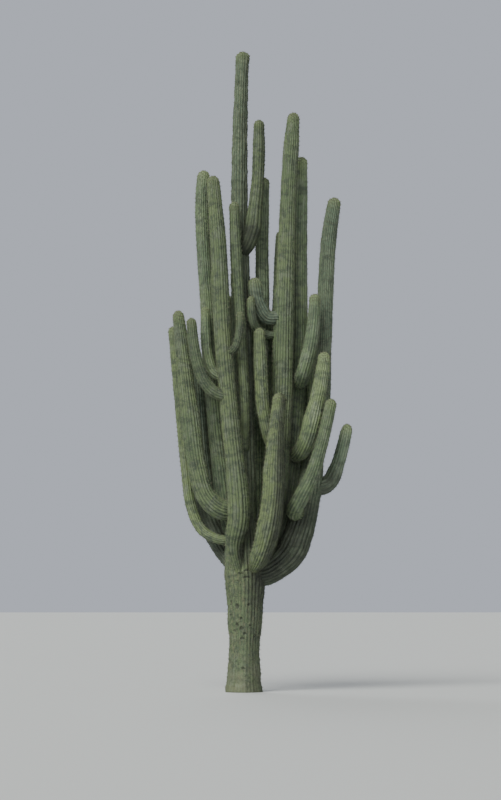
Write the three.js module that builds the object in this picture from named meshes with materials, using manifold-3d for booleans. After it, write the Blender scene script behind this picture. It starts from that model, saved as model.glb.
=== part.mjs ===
// A saguaro cactus: one fluted trunk that forks low down into a crowd of upright arms.
// Millimetres, +Z up, seen from -Y. The origin is the middle of the flat cut at ground level.
import * as THREE from 'three';
import { mergeVertices } from 'three/addons/utils/BufferGeometryUtils.js';
import Module from 'manifold-3d';

const wasm = await Module();
wasm.setup();

// ---------- driving dimensions ----------
const CLEARANCE = 0.3; // gap that a limb keeps to the limb it grows from or leans on
const SWELL = 0.4; // how far a limb is swelled before it cuts its neighbours, for that clearance
const CREST = 1.05; // radius at the crest of a rib, as a share of the limb's mean radius
const FURROW = 0.92; // radius in the furrow between two ribs, as a share of the same
const DOME_LENGTH = 0.55; // length of a limb's rounded end, as a share of its crown diameter
const DOME_RINGS = [0.86, 0.55]; // radius of the rings on a rounded end, as a share of the crown's
const RING_PITCH = 1100; // longest stretch of straight limb between two rings
const RING_TURN = 0.38; // most that a limb turns between two rings, in radians
const CURVE_STEPS = 120; // steps in which a limb's curve is measured
const GROUND_BLOCK = 3000; // side of the block that cuts the foot flat
const TRUNK_COLOR = 0x7a8a5a;
const ELBOW_COLOR = 0x5d6f52;
const ARM_COLOR = 0x6f8360;

// The trunk: its axis from below the ground to its tip, and its diameter at each height.
const TRUNK = {
  name: 'trunk',
  ribs: 11,
  spine: [
    [0, 0, -300], [0, 0, 300], [30, 0, 2090], [0, 0, 3170], [0, 0, 4150],
    [-20, 0, 6340], [-70, 0, 8540], [-100, 0, 10760], [-70, 0, 13000], [-20, 0, 14080],
  ],
  profile: [
    [-300, 820], [0, 790], [300, 725], [900, 650], [1600, 730], [2550, 860],
    [3150, 800], [3900, 520], [6300, 440], [8500, 410], [10700, 350], [13800, 280],
  ],
};

// The arms. None grows from a limb that stands after it here.
// spine: the arm's axis, from its root inside that limb to its tip.
// girth: its diameter at even steps from root to tip. bend: where it is split, as a share of its length.
const ARMS = [
  // front of the plant
  {
    name: 'front_left_column',
    ribs: 9,
    spine: [
      [-60, -220, 2500], [-200, -430, 3150], [-105, -630, 3800], [-280, -700, 5740],
      [-460, -700, 7690], [-550, -660, 9550], [-680, -620, 11180],
    ],
    girth: [300, 480, 400, 360, 370, 340, 280],
  },
  {
    name: 'front_right_column',
    ribs: 9,
    spine: [
      [190, -290, 2640], [310, -600, 2830], [440, -740, 3160], [570, -850, 3740],
      [635, -880, 4300], [650, -880, 4750], [700, -880, 5620], [780, -880, 6410],
    ],
    girth: [240, 440, 500, 460, 470, 380, 310, 270],
  },
  // right side
  {
    name: 'right_column',
    ribs: 9,
    spine: [
      [310, 0, 2590], [540, -70, 3390], [720, -70, 4590], [830, -40, 6340],
      [870, -40, 8100], [930, -40, 9640], [990, -40, 11200], [1100, -40, 12700],
    ],
    girth: [380, 430, 460, 450, 440, 445, 450, 425, 390, 350, 325, 335, 255],
  },
  {
    name: 'far_right_arm',
    ribs: 9,
    bend: 0.22,
    spine: [
      [260, 0, 2550], [490, 0, 2570], [960, 70, 2930], [1180, 110, 3370], [1410, 130, 4270],
      [1540, 150, 5140], [1700, 180, 6690], [1800, 180, 8790], [1870, 180, 9900], [2010, 180, 10840],
    ],
    girth: [520, 640, 530, 405, 360, 350, 345, 335, 285],
  },
  {
    name: 'rear_right_column',
    ribs: 9,
    spine: [
      [310, 180, 2680], [660, 350, 3180], [920, 510, 4170], [1100, 590, 5730],
      [1220, 620, 7730], [1230, 590, 9970], [1270, 570, 11830],
    ],
    girth: [320, 400, 400, 370, 360, 340, 290],
  },
  {
    name: 'rear_inner_column',
    ribs: 7,
    spine: [[810, 20, 6390], [770, 350, 6640], [750, 480, 7490], [800, 510, 8830], [840, 480, 10150]],
    girth: [220, 290, 310, 300, 260],
  },
  {
    name: 'right_upper_arm',
    ribs: 8,
    spine: [
      [1190, 550, 6850], [1240, 90, 6770], [1310, -260, 6950],
      [1450, -350, 7510], [1520, -350, 8060], [1550, -330, 8630],
    ],
    girth: [230, 330, 320, 290, 265, 230],
  },
  {
    name: 'right_middle_arm',
    ribs: 8,
    spine: [
      [1060, 510, 5190], [1160, 90, 5150], [1260, -260, 5230], [1370, -440, 5460],
      [1470, -510, 5820], [1630, -510, 6510], [1760, -480, 7340],
    ],
    girth: [260, 340, 380, 380, 320, 300, 250],
  },
  {
    name: 'right_lower_arm',
    ribs: 8,
    spine: [
      [1270, 90, 3850], [1090, -290, 3890], [1200, -530, 4130],
      [1460, -660, 4640], [1700, -680, 5420], [1900, -660, 6300],
    ],
    girth: [280, 350, 335, 300, 265, 260, 230],
  },
  {
    name: 'right_outer_arm',
    ribs: 7,
    bend: 0.42,
    spine: [
      [1470, 130, 4480], [1700, 180, 4450], [1890, 200, 4570],
      [2020, 200, 4840], [2150, 180, 5260], [2280, 150, 5820],
    ],
    girth: [330, 365, 345, 290, 280, 265, 225],
  },
  // middle
  {
    name: 'centre_front_arm',
    ribs: 7,
    spine: [[20, -180, 5230], [20, -370, 6090], [-60, -440, 7610], [-160, -440, 9250], [-220, -440, 10640]],
    girth: [200, 230, 240, 260, 210],
  },
  {
    name: 'centre_bud',
    ribs: 6,
    spine: [[-390, -700, 7280], [-190, -840, 7390], [-90, -840, 7740], [-80, -840, 8170]],
    girth: [150, 175, 185, 170],
  },
  {
    name: 'centre_right_arm',
    ribs: 7,
    spine: [
      [650, -90, 5180], [570, -330, 5400], [490, -440, 5690],
      [415, -490, 6130], [360, -510, 6950], [330, -510, 7860],
    ],
    girth: [210, 265, 285, 280, 230],
  },
  {
    name: 'upper_stub',
    ribs: 7,
    spine: [[750, -70, 8140], [500, -110, 8150], [330, -180, 8390], [250, -210, 8690], [220, -210, 9000]],
    girth: [300, 320, 310, 300],
  },
  {
    name: 'upper_bud',
    ribs: 6,
    spine: [[720, -40, 7760], [460, -110, 7780], [240, -290, 7930], [160, -420, 8230], [160, -440, 8570]],
    girth: [150, 190, 190, 175],
  },
  {
    name: 'high_arm',
    ribs: 7,
    spine: [
      [-60, -40, 9640], [50, -160, 9710], [185, -215, 10050], [245, -180, 10540],
      [300, -120, 11100], [330, -90, 11900], [330, -90, 12530],
    ],
    girth: [330, 370, 300, 265, 268, 222],
  },
  // left side
  {
    name: 'left_column',
    ribs: 8,
    spine: [
      [-130, 90, 3110], [-350, 200, 3830], [-500, 220, 4780], [-700, 150, 6680],
      [-810, 110, 8560], [-890, 90, 9660], [-930, 90, 10780], [-880, 90, 11430],
    ],
    girth: [360, 400, 360, 350, 310, 300, 280],
  },
  {
    name: 'left_inner_stub',
    ribs: 6,
    spine: [
      [-390, -590, 6740], [-650, -440, 6890], [-780, -350, 7230], [-830, -330, 7670], [-840, -310, 8350],
    ],
    girth: [200, 220, 220, 175],
  },
  {
    name: 'left_front_arm',
    ribs: 7,
    bend: 0.34,
    spine: [
      [-340, -730, 6360], [-600, -790, 6420], [-810, -810, 6610],
      [-980, -810, 7000], [-1080, -790, 7460], [-1140, -750, 8050],
    ],
    girth: [240, 260, 250, 230, 200],
  },
  {
    name: 'left_big_arm',
    ribs: 8,
    bend: 0.18,
    spine: [
      [-170, -260, 3920], [-520, -370, 3940], [-820, -420, 4220], [-1010, -440, 4830],
      [-1170, -440, 5980], [-1310, -420, 7180], [-1440, -400, 8250],
    ],
    girth: [440, 420, 400, 410, 350, 320, 240],
  },
  {
    name: 'left_outer_arm',
    ribs: 7,
    bend: 0.2,
    spine: [
      [-260, -110, 3260], [-630, -90, 3320], [-930, 0, 3520], [-1140, 70, 3980],
      [-1270, 90, 4920], [-1420, 90, 6520], [-1570, 90, 7960],
    ],
    girth: [200, 225, 240, 240, 235, 200],
  },
  {
    name: 'left_rear_arm',
    ribs: 8,
    bend: 0.24,
    spine: [
      [-90, 150, 2720], [-300, 310, 2920], [-580, 480, 3400], [-790, 590, 3910],
      [-940, 640, 4840], [-1030, 640, 5950], [-1100, 620, 7420],
    ],
    girth: [440, 520, 470, 430, 380, 300],
  },
  // back of the plant
  {
    name: 'rear_centre_column',
    ribs: 7,
    spine: [
      [40, 110, 5800], [220, 370, 6110], [380, 480, 6830],
      [410, 440, 8600], [400, 440, 10050], [450, 440, 11340],
    ],
    girth: [230, 280, 290, 290, 285, 230],
  },
  {
    name: 'rear_tall_arm',
    ribs: 7,
    spine: [[-20, 70, 5470], [-30, 350, 5820], [-70, 550, 6610], [-90, 590, 9070], [-90, 570, 11770]],
    girth: [220, 280, 300, 290, 280, 240],
  },
  {
    name: 'rear_left_column',
    ribs: 8,
    spine: [[-40, 130, 4160], [-220, 530, 4530], [-330, 840, 5520], [-380, 920, 7090], [-400, 880, 8770]],
    girth: [260, 330, 340, 320, 260],
  },
  {
    name: 'rear_big_arm',
    ribs: 8,
    bend: 0.22,
    spine: [[180, 180, 3400], [400, 570, 3650], [600, 920, 4370], [690, 1060, 5760], [690, 1010, 8380]],
    girth: [320, 400, 390, 380, 350, 280],
  },
  {
    name: 'rear_low_arm',
    ribs: 8,
    bend: 0.3,
    spine: [[130, 220, 2940], [220, 790, 3170], [290, 1140, 3760], [300, 1280, 4880], [260, 1280, 8300]],
    girth: [320, 390, 380, 370, 350, 330, 270],
  },
  {
    name: 'rear_far_right_arm',
    ribs: 7,
    spine: [[1490, 150, 4640], [1560, 440, 4880], [1680, 660, 5400], [1770, 700, 6620], [1800, 660, 8410]],
    girth: [230, 290, 300, 290, 240],
  },
  {
    name: 'rear_left_arm',
    ribs: 7,
    bend: 0.24,
    spine: [
      [-910, 660, 4360], [-1000, 920, 4480], [-1140, 1100, 4960], [-1230, 1140, 5770], [-1290, 1100, 7060],
    ],
    girth: [220, 270, 290, 290, 240],
  },
  {
    name: 'rear_side_column',
    ribs: 7,
    spine: [[-220, 180, 3610], [-420, 570, 4000], [-640, 840, 4740], [-770, 920, 5970], [-800, 880, 7580]],
    girth: [240, 300, 310, 300, 250],
  },
  {
    name: 'rear_right_arm',
    ribs: 8,
    bend: 0.3,
    spine: [[390, 310, 3030], [790, 700, 3480], [1160, 990, 4370], [1370, 1100, 5540], [1440, 1090, 7380]],
    girth: [320, 370, 370, 350, 340, 270],
  },
  {
    name: 'rear_stub',
    ribs: 6,
    spine: [[700, 1060, 5980], [720, 1320, 6120], [715, 1430, 6460], [700, 1450, 7600]],
    girth: [200, 240, 250, 210],
  },
  {
    name: 'rear_bud',
    ribs: 6,
    spine: [[-90, 590, 7950], [-50, 840, 8070], [0, 950, 8400], [0, 970, 9800]],
    girth: [180, 215, 225, 190],
  },
];

// ---------- shapes ----------
// A closed, indexed BufferGeometry with shared vertices as a solid that can be joined and cut.
function solidOf(geometry) {
  return new wasm.Manifold(new wasm.Mesh({
    numProp: 3,
    vertProperties: new Float32Array(geometry.attributes.position.array),
    triVerts: new Uint32Array(geometry.index.array),
  }));
}

// The value at x of a curve through [x, value] pairs, eased between them.
function valueAt(pairs, x) {
  const next = pairs.findIndex(([place]) => place > x);
  if (next === 0) return pairs[0][1];
  if (next < 0) return pairs[pairs.length - 1][1];
  const [x0, v0] = pairs[next - 1];
  const [x1, v1] = pairs[next];
  return v0 + (v1 - v0) * THREE.MathUtils.smoothstep(x, x0, x1);
}

// A limb's curve, its length and its radius anywhere along it, rounded off at the tip.
function measure(limb) {
  const curve = new THREE.CatmullRomCurve3(limb.spine.map((p) => new THREE.Vector3(...p)));
  curve.arcLengthDivisions = 4 * CURVE_STEPS;
  const length = curve.getLength();
  const pairs = limb.profile ?? limb.girth.map((d, i) => [i / (limb.girth.length - 1), d]);
  const width = (u) => valueAt(pairs, limb.profile ? curve.getPointAt(u).z : u);
  const dome = DOME_LENGTH * width(1);
  const radius = (u) => {
    const left = Math.min(1, ((1 - u) * length) / dome);
    return (width(u) / 2) * Math.sqrt(1 - (1 - left) ** 2);
  };
  return { curve, length, dome, radius };
}

// Where a limb's rings stand along its curve: closer together where it turns, and on its rounded end.
function stations({ curve, length, dome }) {
  const shaft = 1 - dome / length;
  const weights = [0];
  let last = curve.getTangentAt(0);
  for (let i = 1; i <= CURVE_STEPS; i += 1) {
    const tangent = curve.getTangentAt((shaft * i) / CURVE_STEPS);
    const step = (shaft * length) / CURVE_STEPS / RING_PITCH + last.angleTo(tangent) / RING_TURN;
    weights.push(weights[i - 1] + step);
    last = tangent;
  }
  const count = Math.max(3, Math.ceil(weights[CURVE_STEPS]));
  const places = [];
  for (let ring = 0; ring <= count; ring += 1) {
    const goal = (weights[CURVE_STEPS] * ring) / count;
    const after = Math.max(1, weights.findIndex((w) => w >= goal - 1e-9));
    const share = (goal - weights[after - 1]) / (weights[after] - weights[after - 1]);
    places.push((shaft * (after - 1 + share)) / CURVE_STEPS);
  }
  DOME_RINGS.forEach((share) => {
    places.push(1 - ((1 - Math.sqrt(1 - share ** 2)) * dome) / length);
  });
  return places;
}

// A limb as a closed fluted solid: star-shaped rings along its curve, a flat root and a point at the tip.
function flutedSolid(limb, swell = 0) {
  const form = measure(limb);
  const sides = 2 * limb.ribs;
  const across = new THREE.Vector3(0, -1, 0);
  const points = [];
  const places = stations(form);
  places.forEach((u, ring) => {
    const tangent = form.curve.getTangentAt(u);
    across.addScaledVector(tangent, -across.dot(tangent)).normalize();
    const side = new THREE.Vector3().crossVectors(tangent, across);
    const centre = form.curve.getPointAt(u);
    if (ring === 0) centre.addScaledVector(tangent, -swell);
    for (let i = 0; i < sides; i += 1) {
      const angle = (Math.PI * i) / limb.ribs;
      const reach = form.radius(u) * (i % 2 ? FURROW : CREST) + swell;
      points.push(centre.clone()
        .addScaledVector(across, reach * Math.cos(angle))
        .addScaledVector(side, reach * Math.sin(angle)));
    }
  });
  const foot = points.length;
  points.push(form.curve.getPointAt(0).addScaledVector(form.curve.getTangentAt(0), -swell));
  points.push(form.curve.getPointAt(1).addScaledVector(form.curve.getTangentAt(1), swell));

  const faces = [];
  const last = (places.length - 1) * sides;
  for (let i = 0; i < sides; i += 1) {
    const j = (i + 1) % sides;
    faces.push(foot, j, i, foot + 1, last + i, last + j);
    for (let low = 0; low < last; low += sides) {
      const high = low + sides;
      faces.push(low + i, low + j, high + j, low + i, high + j, high + i);
    }
  }
  const geometry = new THREE.BufferGeometry().setFromPoints(points);
  geometry.setIndex(faces);
  return solidOf(geometry);
}

// The solid without what lies below the ground.
function cutAtGround(solid) {
  const block = new THREE.BoxGeometry(GROUND_BLOCK, GROUND_BLOCK, GROUND_BLOCK);
  block.translate(0, 0, -GROUND_BLOCK / 2);
  block.deleteAttribute('normal');
  block.deleteAttribute('uv');
  return solid.subtract(solidOf(mergeVertices(block)));
}

// The largest body of a solid, without the scraps that a cut can leave.
function largestBody(solid) {
  return solid.decompose().reduce((a, b) => (b.volume() > a.volume() ? b : a));
}

// A limb's solid clear of every limb grown before it.
function rooted(limb, grown) {
  const whole = grown.reduce((solid, other) => solid.subtract(other), flutedSolid(limb));
  return largestBody(whole);
}

// The elbow and the shaft of a bent limb, parted by a flat gap square to its curve.
function splitAtBend(limb, solid) {
  const { curve } = measure(limb);
  const normal = curve.getTangentAt(limb.bend);
  const offset = curve.getPointAt(limb.bend).dot(normal);
  const back = normal.clone().negate();
  return {
    elbow: solid.trimByPlane(back.toArray(), CLEARANCE / 2 - offset),
    shaft: solid.trimByPlane(normal.toArray(), offset + CLEARANCE / 2),
  };
}

// ---------- the plant ----------
const saguaro = new THREE.Group();
saguaro.name = 'saguaro_cactus';

function addMesh(name, solid, color) {
  const { vertProperties, triVerts } = solid.getMesh();
  const geometry = new THREE.BufferGeometry();
  geometry.setAttribute('position', new THREE.BufferAttribute(new Float32Array(vertProperties), 3));
  geometry.setIndex(new THREE.BufferAttribute(new Uint32Array(triVerts), 1));
  geometry.computeVertexNormals();
  const skin = new THREE.MeshStandardMaterial({ color, roughness: 0.7, metalness: 0 });
  const mesh = new THREE.Mesh(geometry, skin);
  mesh.name = name;
  saguaro.add(mesh);
}

addMesh(TRUNK.name, cutAtGround(flutedSolid(TRUNK)), TRUNK_COLOR);

const grown = [flutedSolid(TRUNK, SWELL)];
ARMS.forEach((arm) => {
  const solid = rooted(arm, grown);
  if (arm.bend) {
    const { elbow, shaft } = splitAtBend(arm, solid);
    addMesh(`${arm.name}_elbow`, elbow, ELBOW_COLOR);
    addMesh(`${arm.name}_shaft`, shaft, ARM_COLOR);
  } else {
    addMesh(arm.name, solid, ARM_COLOR);
  }
  grown.push(flutedSolid(arm, SWELL));
});

export default saguaro;
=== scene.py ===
"""A saguaro cactus dressed for rendering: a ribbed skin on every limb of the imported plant, with its growth
bands, scars and corky foot, and rows of spines on felted pads along the ribs.
Metres, +Z up, the plant's front towards -Y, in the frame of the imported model."""
import math
from collections import namedtuple

import bpy
import numpy as np
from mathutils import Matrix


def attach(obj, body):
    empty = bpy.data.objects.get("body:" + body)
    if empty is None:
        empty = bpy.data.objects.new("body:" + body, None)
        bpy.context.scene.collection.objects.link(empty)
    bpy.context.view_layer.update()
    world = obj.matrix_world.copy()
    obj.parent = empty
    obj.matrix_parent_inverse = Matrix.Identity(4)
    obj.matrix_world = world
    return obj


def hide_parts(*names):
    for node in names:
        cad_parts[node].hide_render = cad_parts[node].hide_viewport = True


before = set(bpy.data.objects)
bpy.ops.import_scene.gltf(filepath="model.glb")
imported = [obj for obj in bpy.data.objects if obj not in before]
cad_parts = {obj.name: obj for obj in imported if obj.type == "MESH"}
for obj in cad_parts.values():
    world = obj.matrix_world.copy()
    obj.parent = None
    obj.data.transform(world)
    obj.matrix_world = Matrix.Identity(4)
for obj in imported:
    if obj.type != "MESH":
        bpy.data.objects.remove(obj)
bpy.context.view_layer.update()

# ---------- the plant's plan, in millimetres as in its source ----------
MM = 0.001
DOME_LENGTH = 0.55  # length of a limb's rounded end, as a share of its crown diameter
CURVE_STEPS = 480  # steps in which a limb's curve is measured
TANGENT_REACH = 0.004  # distance to either side, in metres, over which the curve's direction is taken

Limb = namedtuple("Limb", "name zone ribs tone light spine girth")

# The trunk: its axis, and its diameter at each height. Low down it has twice as many ribs as its column.
TRUNK_RIBS = 30
TRUNK_SPINE = [
    (0, 0, -300), (0, 0, 300), (30, 0, 2090), (0, 0, 3170), (0, 0, 4150),
    (-20, 0, 6340), (-70, 0, 8540), (-100, 0, 10760), (-70, 0, 13000), (-20, 0, 14080),
]
TRUNK_PROFILE = [
    (-300, 820), (0, 790), (300, 725), (900, 650), (1600, 730), (2550, 860),
    (3150, 800), (3900, 520), (6300, 440), (8500, 410), (10700, 350), (13800, 280),
]

# The arms: name, zone of the crown, ribs, tone of the green from -1 (bluish) to 1 (yellowish),
# how light it is (partly its own green, partly painted light: raised on limbs that lie in shade, lowered on
# some in full light), axis from root to tip, and diameter at even steps along it.
ARMS = [Limb(*row) for row in [
    (
        "front_left_column", "front", 18, 0.4, 0.93,
        [(-60, -220, 2500), (-200, -430, 3150), (-105, -630, 3800), (-280, -700, 5740),
         (-460, -700, 7690), (-550, -660, 9550), (-680, -620, 11180)],
        [300, 480, 400, 360, 370, 340, 280],
    ),
    (
        "front_right_column", "front", 22, 0.6, 0.97,
        [(190, -290, 2640), (310, -600, 2830), (440, -740, 3160), (570, -850, 3740),
         (635, -880, 4300), (650, -880, 4750), (700, -880, 5620), (780, -880, 6410)],
        [240, 440, 500, 460, 470, 380, 310, 270],
    ),
    (
        "right_column", "right", 20, 0.3, 1,
        [(310, 0, 2590), (540, -70, 3390), (720, -70, 4590), (830, -40, 6340), (870, -40, 8100),
         (930, -40, 9640), (990, -40, 11200), (1100, -40, 12700)],
        [380, 430, 460, 450, 440, 445, 450, 425, 390, 350, 325, 335, 255],
    ),
    (
        "far_right_arm", "right", 21, -0.5, 1,
        [(260, 0, 2550), (490, 0, 2570), (960, 70, 2930), (1180, 110, 3370), (1410, 130, 4270),
         (1540, 150, 5140), (1700, 180, 6690), (1800, 180, 8790), (1870, 180, 9900),
         (2010, 180, 10840)],
        [520, 640, 530, 405, 360, 350, 345, 335, 285],
    ),
    (
        "rear_right_column", "right", 18, 0, 1.45,
        [(310, 180, 2680), (660, 350, 3180), (920, 510, 4170), (1100, 590, 5730), (1220, 620, 7730),
         (1230, 590, 9970), (1270, 570, 11830)],
        [320, 400, 400, 370, 360, 340, 290],
    ),
    (
        "rear_inner_column", "right", 14, -0.4, 1,
        [(810, 20, 6390), (770, 350, 6640), (750, 480, 7490), (800, 510, 8830), (840, 480, 10150)],
        [220, 290, 310, 300, 260],
    ),
    (
        "right_upper_arm", "right", 15, 0, 1.28,
        [(1190, 550, 6850), (1240, 90, 6770), (1310, -260, 6950), (1450, -350, 7510),
         (1520, -350, 8060), (1550, -330, 8630)],
        [230, 330, 320, 290, 265, 230],
    ),
    (
        "right_middle_arm", "right", 18, 0.4, 1.28,
        [(1060, 510, 5190), (1160, 90, 5150), (1260, -260, 5230), (1370, -440, 5460),
         (1470, -510, 5820), (1630, -510, 6510), (1760, -480, 7340)],
        [260, 340, 380, 380, 320, 300, 250],
    ),
    (
        "right_lower_arm", "right", 15, 0.2, 1.06,
        [(1270, 90, 3850), (1090, -290, 3890), (1200, -530, 4130), (1460, -660, 4640),
         (1700, -680, 5420), (1900, -660, 6300)],
        [280, 350, 335, 300, 265, 260, 230],
    ),
    (
        "right_outer_arm", "right", 13, -0.5, 1.5,
        [(1470, 130, 4480), (1700, 180, 4450), (1890, 200, 4570), (2020, 200, 4840),
         (2150, 180, 5260), (2280, 150, 5820)],
        [330, 365, 345, 290, 280, 265, 225],
    ),
    (
        "centre_front_arm", "front", 12, 0.3, 0.98,
        [(20, -180, 5230), (20, -370, 6090), (-60, -440, 7610), (-160, -440, 9250),
         (-220, -440, 10640)],
        [200, 230, 240, 260, 210],
    ),
    (
        "centre_bud", "front", 11, -0.2, 0.72,
        [(-390, -700, 7280), (-190, -840, 7390), (-90, -840, 7740), (-80, -840, 8170)],
        [150, 175, 185, 170],
    ),
    (
        "centre_right_arm", "front", 14, 0.5, 1,
        [(650, -90, 5180), (570, -330, 5400), (490, -440, 5690), (415, -490, 6130),
         (360, -510, 6950), (330, -510, 7860)],
        [210, 265, 285, 280, 230],
    ),
    (
        "upper_stub", "middle", 14, -0.7, 1,
        [(750, -70, 8140), (500, -110, 8150), (330, -180, 8390), (250, -210, 8690),
         (220, -210, 9000)],
        [300, 320, 310, 300],
    ),
    (
        "upper_bud", "middle", 11, -0.1, 1,
        [(720, -40, 7760), (460, -110, 7780), (240, -290, 7930), (160, -420, 8230),
         (160, -440, 8570)],
        [150, 190, 190, 175],
    ),
    (
        "high_arm", "middle", 13, 0.3, 0.8,
        [(-60, -40, 9640), (50, -160, 9710), (185, -215, 10050), (245, -180, 10540),
         (300, -120, 11100), (330, -90, 11900), (330, -90, 12530)],
        [330, 370, 300, 265, 268, 222],
    ),
    (
        "left_column", "left", 18, -0.2, 1.25,
        [(-130, 90, 3110), (-350, 200, 3830), (-500, 220, 4780), (-700, 150, 6680),
         (-810, 110, 8560), (-890, 90, 9660), (-930, 90, 10780), (-880, 90, 11430)],
        [360, 400, 360, 350, 310, 300, 280],
    ),
    (
        "left_inner_stub", "left", 11, 0.1, 1.3,
        [(-390, -590, 6740), (-650, -440, 6890), (-780, -350, 7230), (-830, -330, 7670),
         (-840, -310, 8350)],
        [200, 220, 220, 175],
    ),
    (
        "left_front_arm", "left", 13, 0.1, 0.78,
        [(-340, -730, 6360), (-600, -790, 6420), (-810, -810, 6610), (-980, -810, 7000),
         (-1080, -790, 7460), (-1140, -750, 8050)],
        [240, 260, 250, 230, 200],
    ),
    (
        "left_big_arm", "left", 19, 0.3, 0.95,
        [(-170, -260, 3920), (-520, -370, 3940), (-820, -420, 4220), (-1010, -440, 4830),
         (-1170, -440, 5980), (-1310, -420, 7180), (-1440, -400, 8250)],
        [440, 420, 400, 410, 350, 320, 240],
    ),
    (
        "left_outer_arm", "left", 13, 0.5, 1.12,
        [(-260, -110, 3260), (-630, -90, 3320), (-930, 0, 3520), (-1140, 70, 3980),
         (-1270, 90, 4920), (-1420, 90, 6520), (-1570, 90, 7960)],
        [200, 225, 240, 240, 235, 200],
    ),
    (
        "left_rear_arm", "left", 20, -0.7, 1.6,
        [(-90, 150, 2720), (-300, 310, 2920), (-580, 480, 3400), (-790, 590, 3910),
         (-940, 640, 4840), (-1030, 640, 5950), (-1100, 620, 7420)],
        [440, 520, 470, 430, 380, 300],
    ),
    (
        "rear_centre_column", "middle", 14, -0.3, 1.4,
        [(40, 110, 5800), (220, 370, 6110), (380, 480, 6830), (410, 440, 8600), (400, 440, 10050),
         (450, 440, 11340)],
        [230, 280, 290, 290, 285, 230],
    ),
    (
        "rear_tall_arm", "middle", 14, 0, 1,
        [(-20, 70, 5470), (-30, 350, 5820), (-70, 550, 6610), (-90, 590, 9070), (-90, 570, 11770)],
        [220, 280, 300, 290, 280, 240],
    ),
    (
        "rear_left_column", "rear", 16, -0.2, 1.2,
        [(-40, 130, 4160), (-220, 530, 4530), (-330, 840, 5520), (-380, 920, 7090),
         (-400, 880, 8770)],
        [260, 330, 340, 320, 260],
    ),
    (
        "rear_big_arm", "rear", 17, 0.2, 1.4,
        [(180, 180, 3400), (400, 570, 3650), (600, 920, 4370), (690, 1060, 5760), (690, 1010, 8380)],
        [320, 400, 390, 380, 350, 280],
    ),
    (
        "rear_low_arm", "rear", 17, -0.3, 1.9,
        [(130, 220, 2940), (220, 790, 3170), (290, 1140, 3760), (300, 1280, 4880),
         (260, 1280, 8300)],
        [320, 390, 380, 370, 350, 330, 270],
    ),
    (
        "rear_far_right_arm", "right", 14, 0.1, 1,
        [(1490, 150, 4640), (1560, 440, 4880), (1680, 660, 5400), (1770, 700, 6620),
         (1800, 660, 8410)],
        [230, 290, 300, 290, 240],
    ),
    (
        "rear_left_arm", "rear", 14, 0.2, 1,
        [(-910, 660, 4360), (-1000, 920, 4480), (-1140, 1100, 4960), (-1230, 1140, 5770),
         (-1290, 1100, 7060)],
        [220, 270, 290, 290, 240],
    ),
    (
        "rear_side_column", "rear", 15, -0.2, 1,
        [(-220, 180, 3610), (-420, 570, 4000), (-640, 840, 4740), (-770, 920, 5970),
         (-800, 880, 7580)],
        [240, 300, 310, 300, 250],
    ),
    (
        "rear_right_arm", "rear", 16, 0.1, 1.5,
        [(390, 310, 3030), (790, 700, 3480), (1160, 990, 4370), (1370, 1100, 5540),
         (1440, 1090, 7380)],
        [320, 370, 370, 350, 340, 270],
    ),
    (
        "rear_stub", "rear", 12, 0.3, 1,
        [(700, 1060, 5980), (720, 1320, 6120), (715, 1430, 6460), (700, 1450, 7600)],
        [200, 240, 250, 210],
    ),
    (
        "rear_bud", "middle", 11, 0, 1,
        [(-90, 590, 7950), (-50, 840, 8070), (0, 950, 8400), (0, 970, 9800)],
        [180, 215, 225, 190],
    ),
]]

# ---------- relief of the skin, in metres unless it says otherwise ----------
CREST = 1.03  # radius at a rib's crest, as a share of the limb's mean radius
FURROW = 0.90  # radius in the furrow between two ribs, as a share of the same
RIB_SAMPLES = (0.0, 0.2, 0.5, 0.8)  # places across one rib, from furrow to furrow
RIB_ROUND = 0.72  # power that rounds the crests and sharpens the furrows
RIB_SWAY = 0.13  # how far a furrow wanders sideways, as a share of a rib
RIB_UNEVEN = 0.22  # how much ribs differ in height, as a share of their depth
SWAY_STEP = 0.9  # length over which a rib's wandering and its height change
LUMP = 0.03  # height of the knobs on a crest, as a share of the radius
LUMP_STEP = 0.1  # length over which they change
SWELL = 0.018  # slow swelling along a limb, as a share of its radius
SWELL_STEP = 0.5
PINCH = 0.028  # depth of the deepest waist between two seasons' growth, as a share of the radius
PINCH_SHARE = (0.3, 1)  # depths of the waists, as shares of that
PINCH_REACH = 0.05  # half the length of a waist
PINCH_STEP = (0.35, 0.95)  # shortest and longest season's growth

RING_STEP = 0.055  # distance between two rings of a skin
FINE_RING_STEP = 0.022  # on the bare trunk, which has scars and cork
FEWEST_RINGS = 4
DOME_RINGS = 7  # steps round a rounded end
GROUND = (-math.inf, -math.inf, 0.0)  # lowest coordinates of a skin

# Along the trunk's axis, from below the ground up.
TRUNK_FOOT = 0.3  # length of axis below the ground, which has no skin
TRUNK_FORK = 3.0  # height up to which the rings are fine
RIBS_MERGE = (3.1, 4.6)  # where pairs of the trunk's ribs run together
FOOT_SHALLOW = 0.22  # depth of the ribs at the ground, as a share of their depth higher up
FOOT_REACH = 3.2  # height at which they have their full depth
FOOT_LOBES = 5  # broad lobes round the flared foot
FOOT_LOBE_SIZE = 0.03  # as a share of the radius
FOOT_LOBE_FADE = 4  # how fast the lobes fade upwards

TRUNK_TONE = 0.3  # from -1 (bluish) to 1 (yellowish), as for the arms
COLUMN_TONE = -0.5
TONE_TURNS = (2.6, 5.5)  # heights between which the trunk's green turns bluish
KNOBBLY = 2.7  # how much larger the knobs are on the old column of the trunk
KNOBBLY_FROM = (6.0, 9.0)  # heights between which they grow to that
KNOBBLY_TIP = 3.2  # how much larger they are on the young growth of every tip

# Painted shade on a limb's right side, the side away from the light: how dark the skin is made there, from 0
# to 1.
PAINTED_SHADE_SIDES = {
    "front_right_column": 0.95, "front_left_column": 0.25, "centre_front_arm": 0.3, "high_arm": 0.5,
    "right_column": 0.2, "right_upper_arm": 0.25, "upper_bud": 0.5, "centre_bud": 0.3, "trunk": 0.5,
}
PAINTED_SHADE_SIDE_FROM = (-0.15, 0.5)  # where it starts and where it is full, as shares of the radius rightwards
LEAST_RADIUS = 0.01  # of a ring, for that share
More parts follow.
